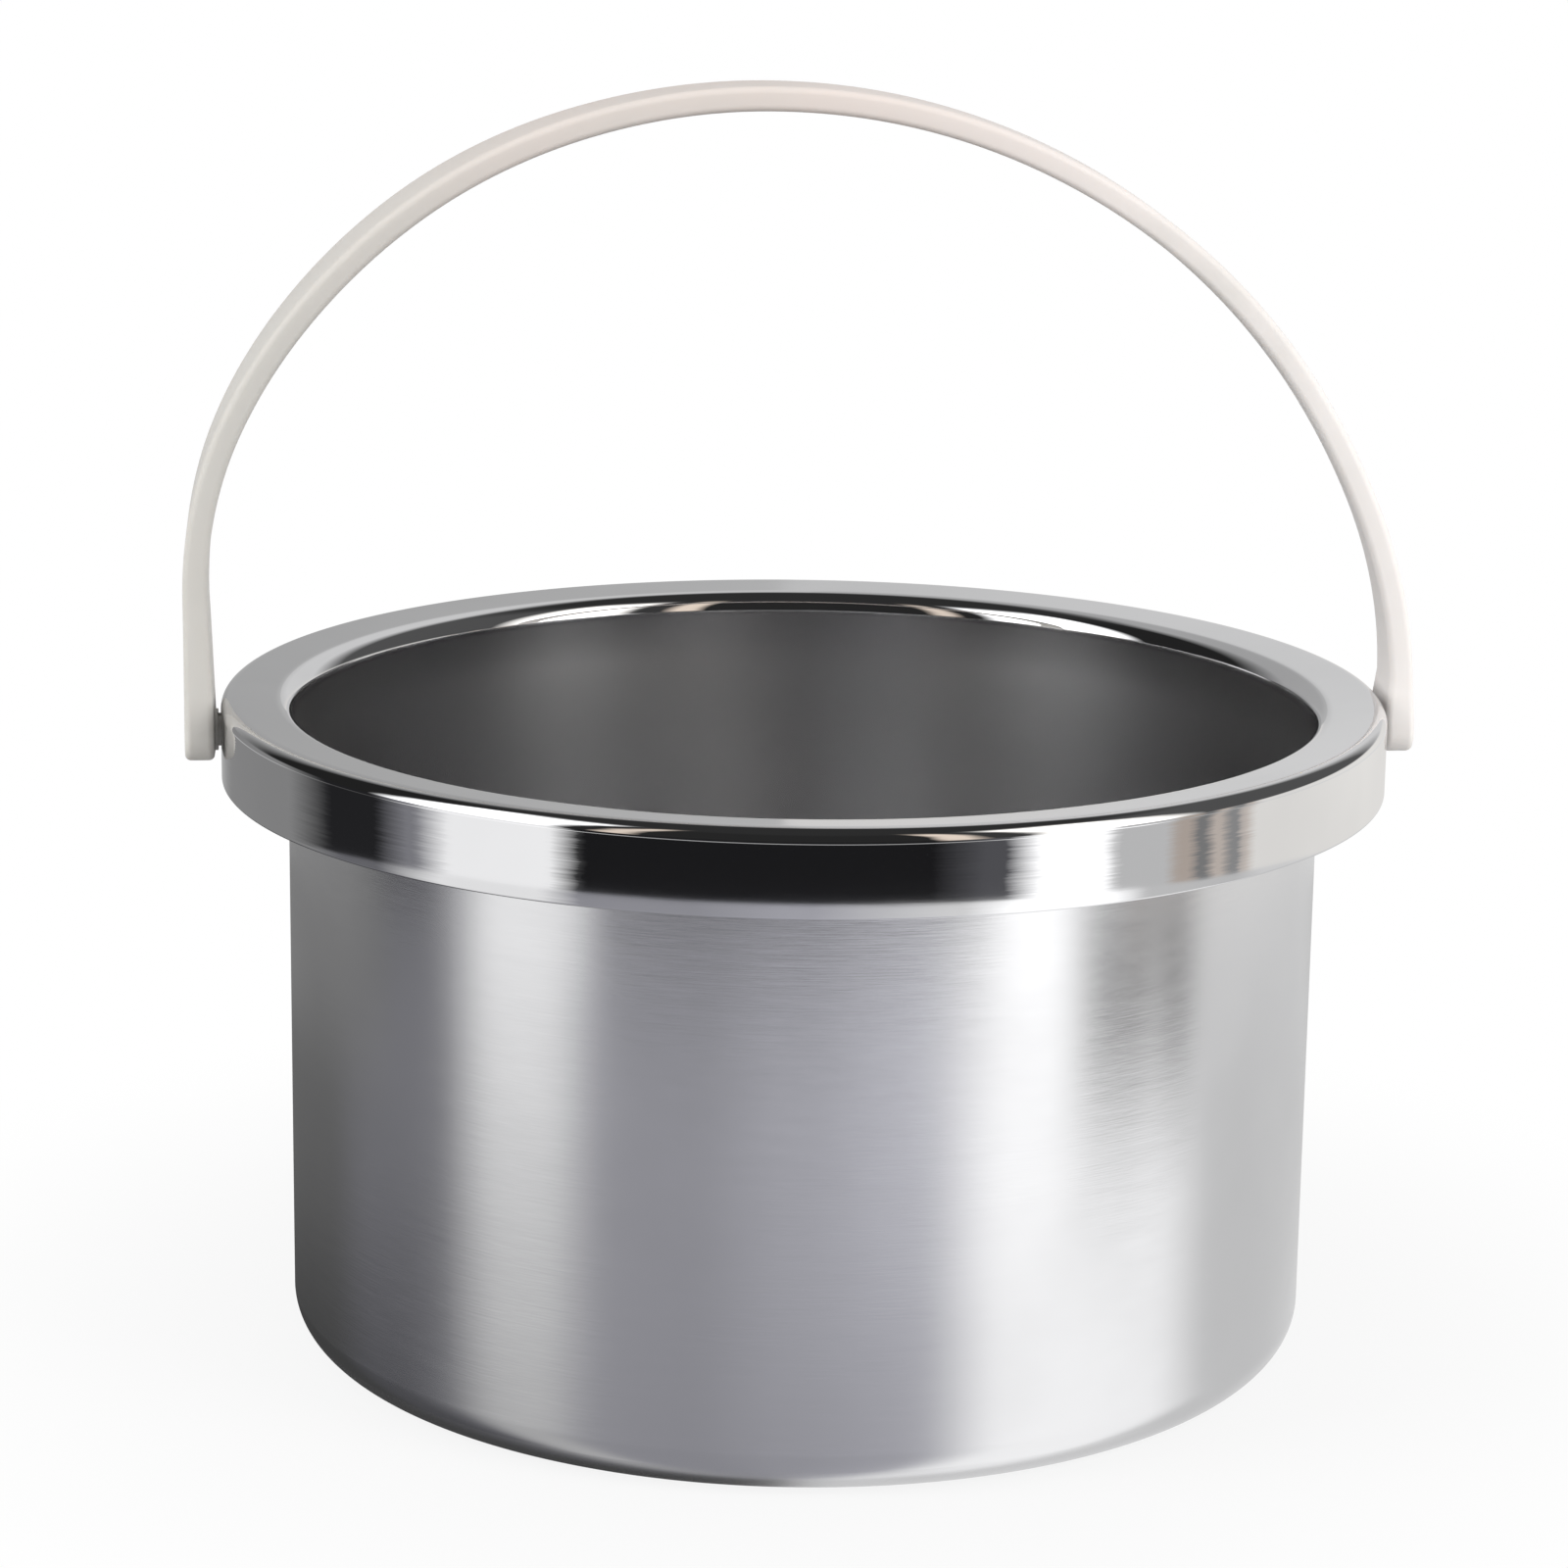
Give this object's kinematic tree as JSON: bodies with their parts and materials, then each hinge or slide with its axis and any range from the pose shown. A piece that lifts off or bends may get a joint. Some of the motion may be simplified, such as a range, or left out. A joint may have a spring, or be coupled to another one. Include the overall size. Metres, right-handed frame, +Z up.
{
  "type": "wax melter inner pot",
  "caption": "Round drawn-aluminium melting pot with a flanged, skirted rim and a thin moulded plastic bail that swings on split snap pegs in the skirt.",
  "frame": {"origin": "centre of the pot's flat underside, on the surface it stands on", "axes": "+Z up along the pot's axis, +X along the bail's pivot axis towards the right-hand pivot, -Y towards the viewer"},
  "size_m": [0.1272, 0.12, 0.1306],
  "materials": {
    "pot": "satin drawn body and inside, mirror-polished lip, rim corner and skirt",
    "bail_handle": "milky translucent moulded polypropylene, softly glossy"
  },
  "bodies": {
    "pot_body": {"pot": "pot"},
    "bail": {"bail_handle": "bail_handle"}
  },
  "joints": [
    {"name": "bail_swing", "type": "hinge", "parent": "pot_body", "child": "bail", "pos_m": [0, 0, 0.0641], "axis": [1, 0, 0], "range_deg": [-117, 117]}
  ]
}
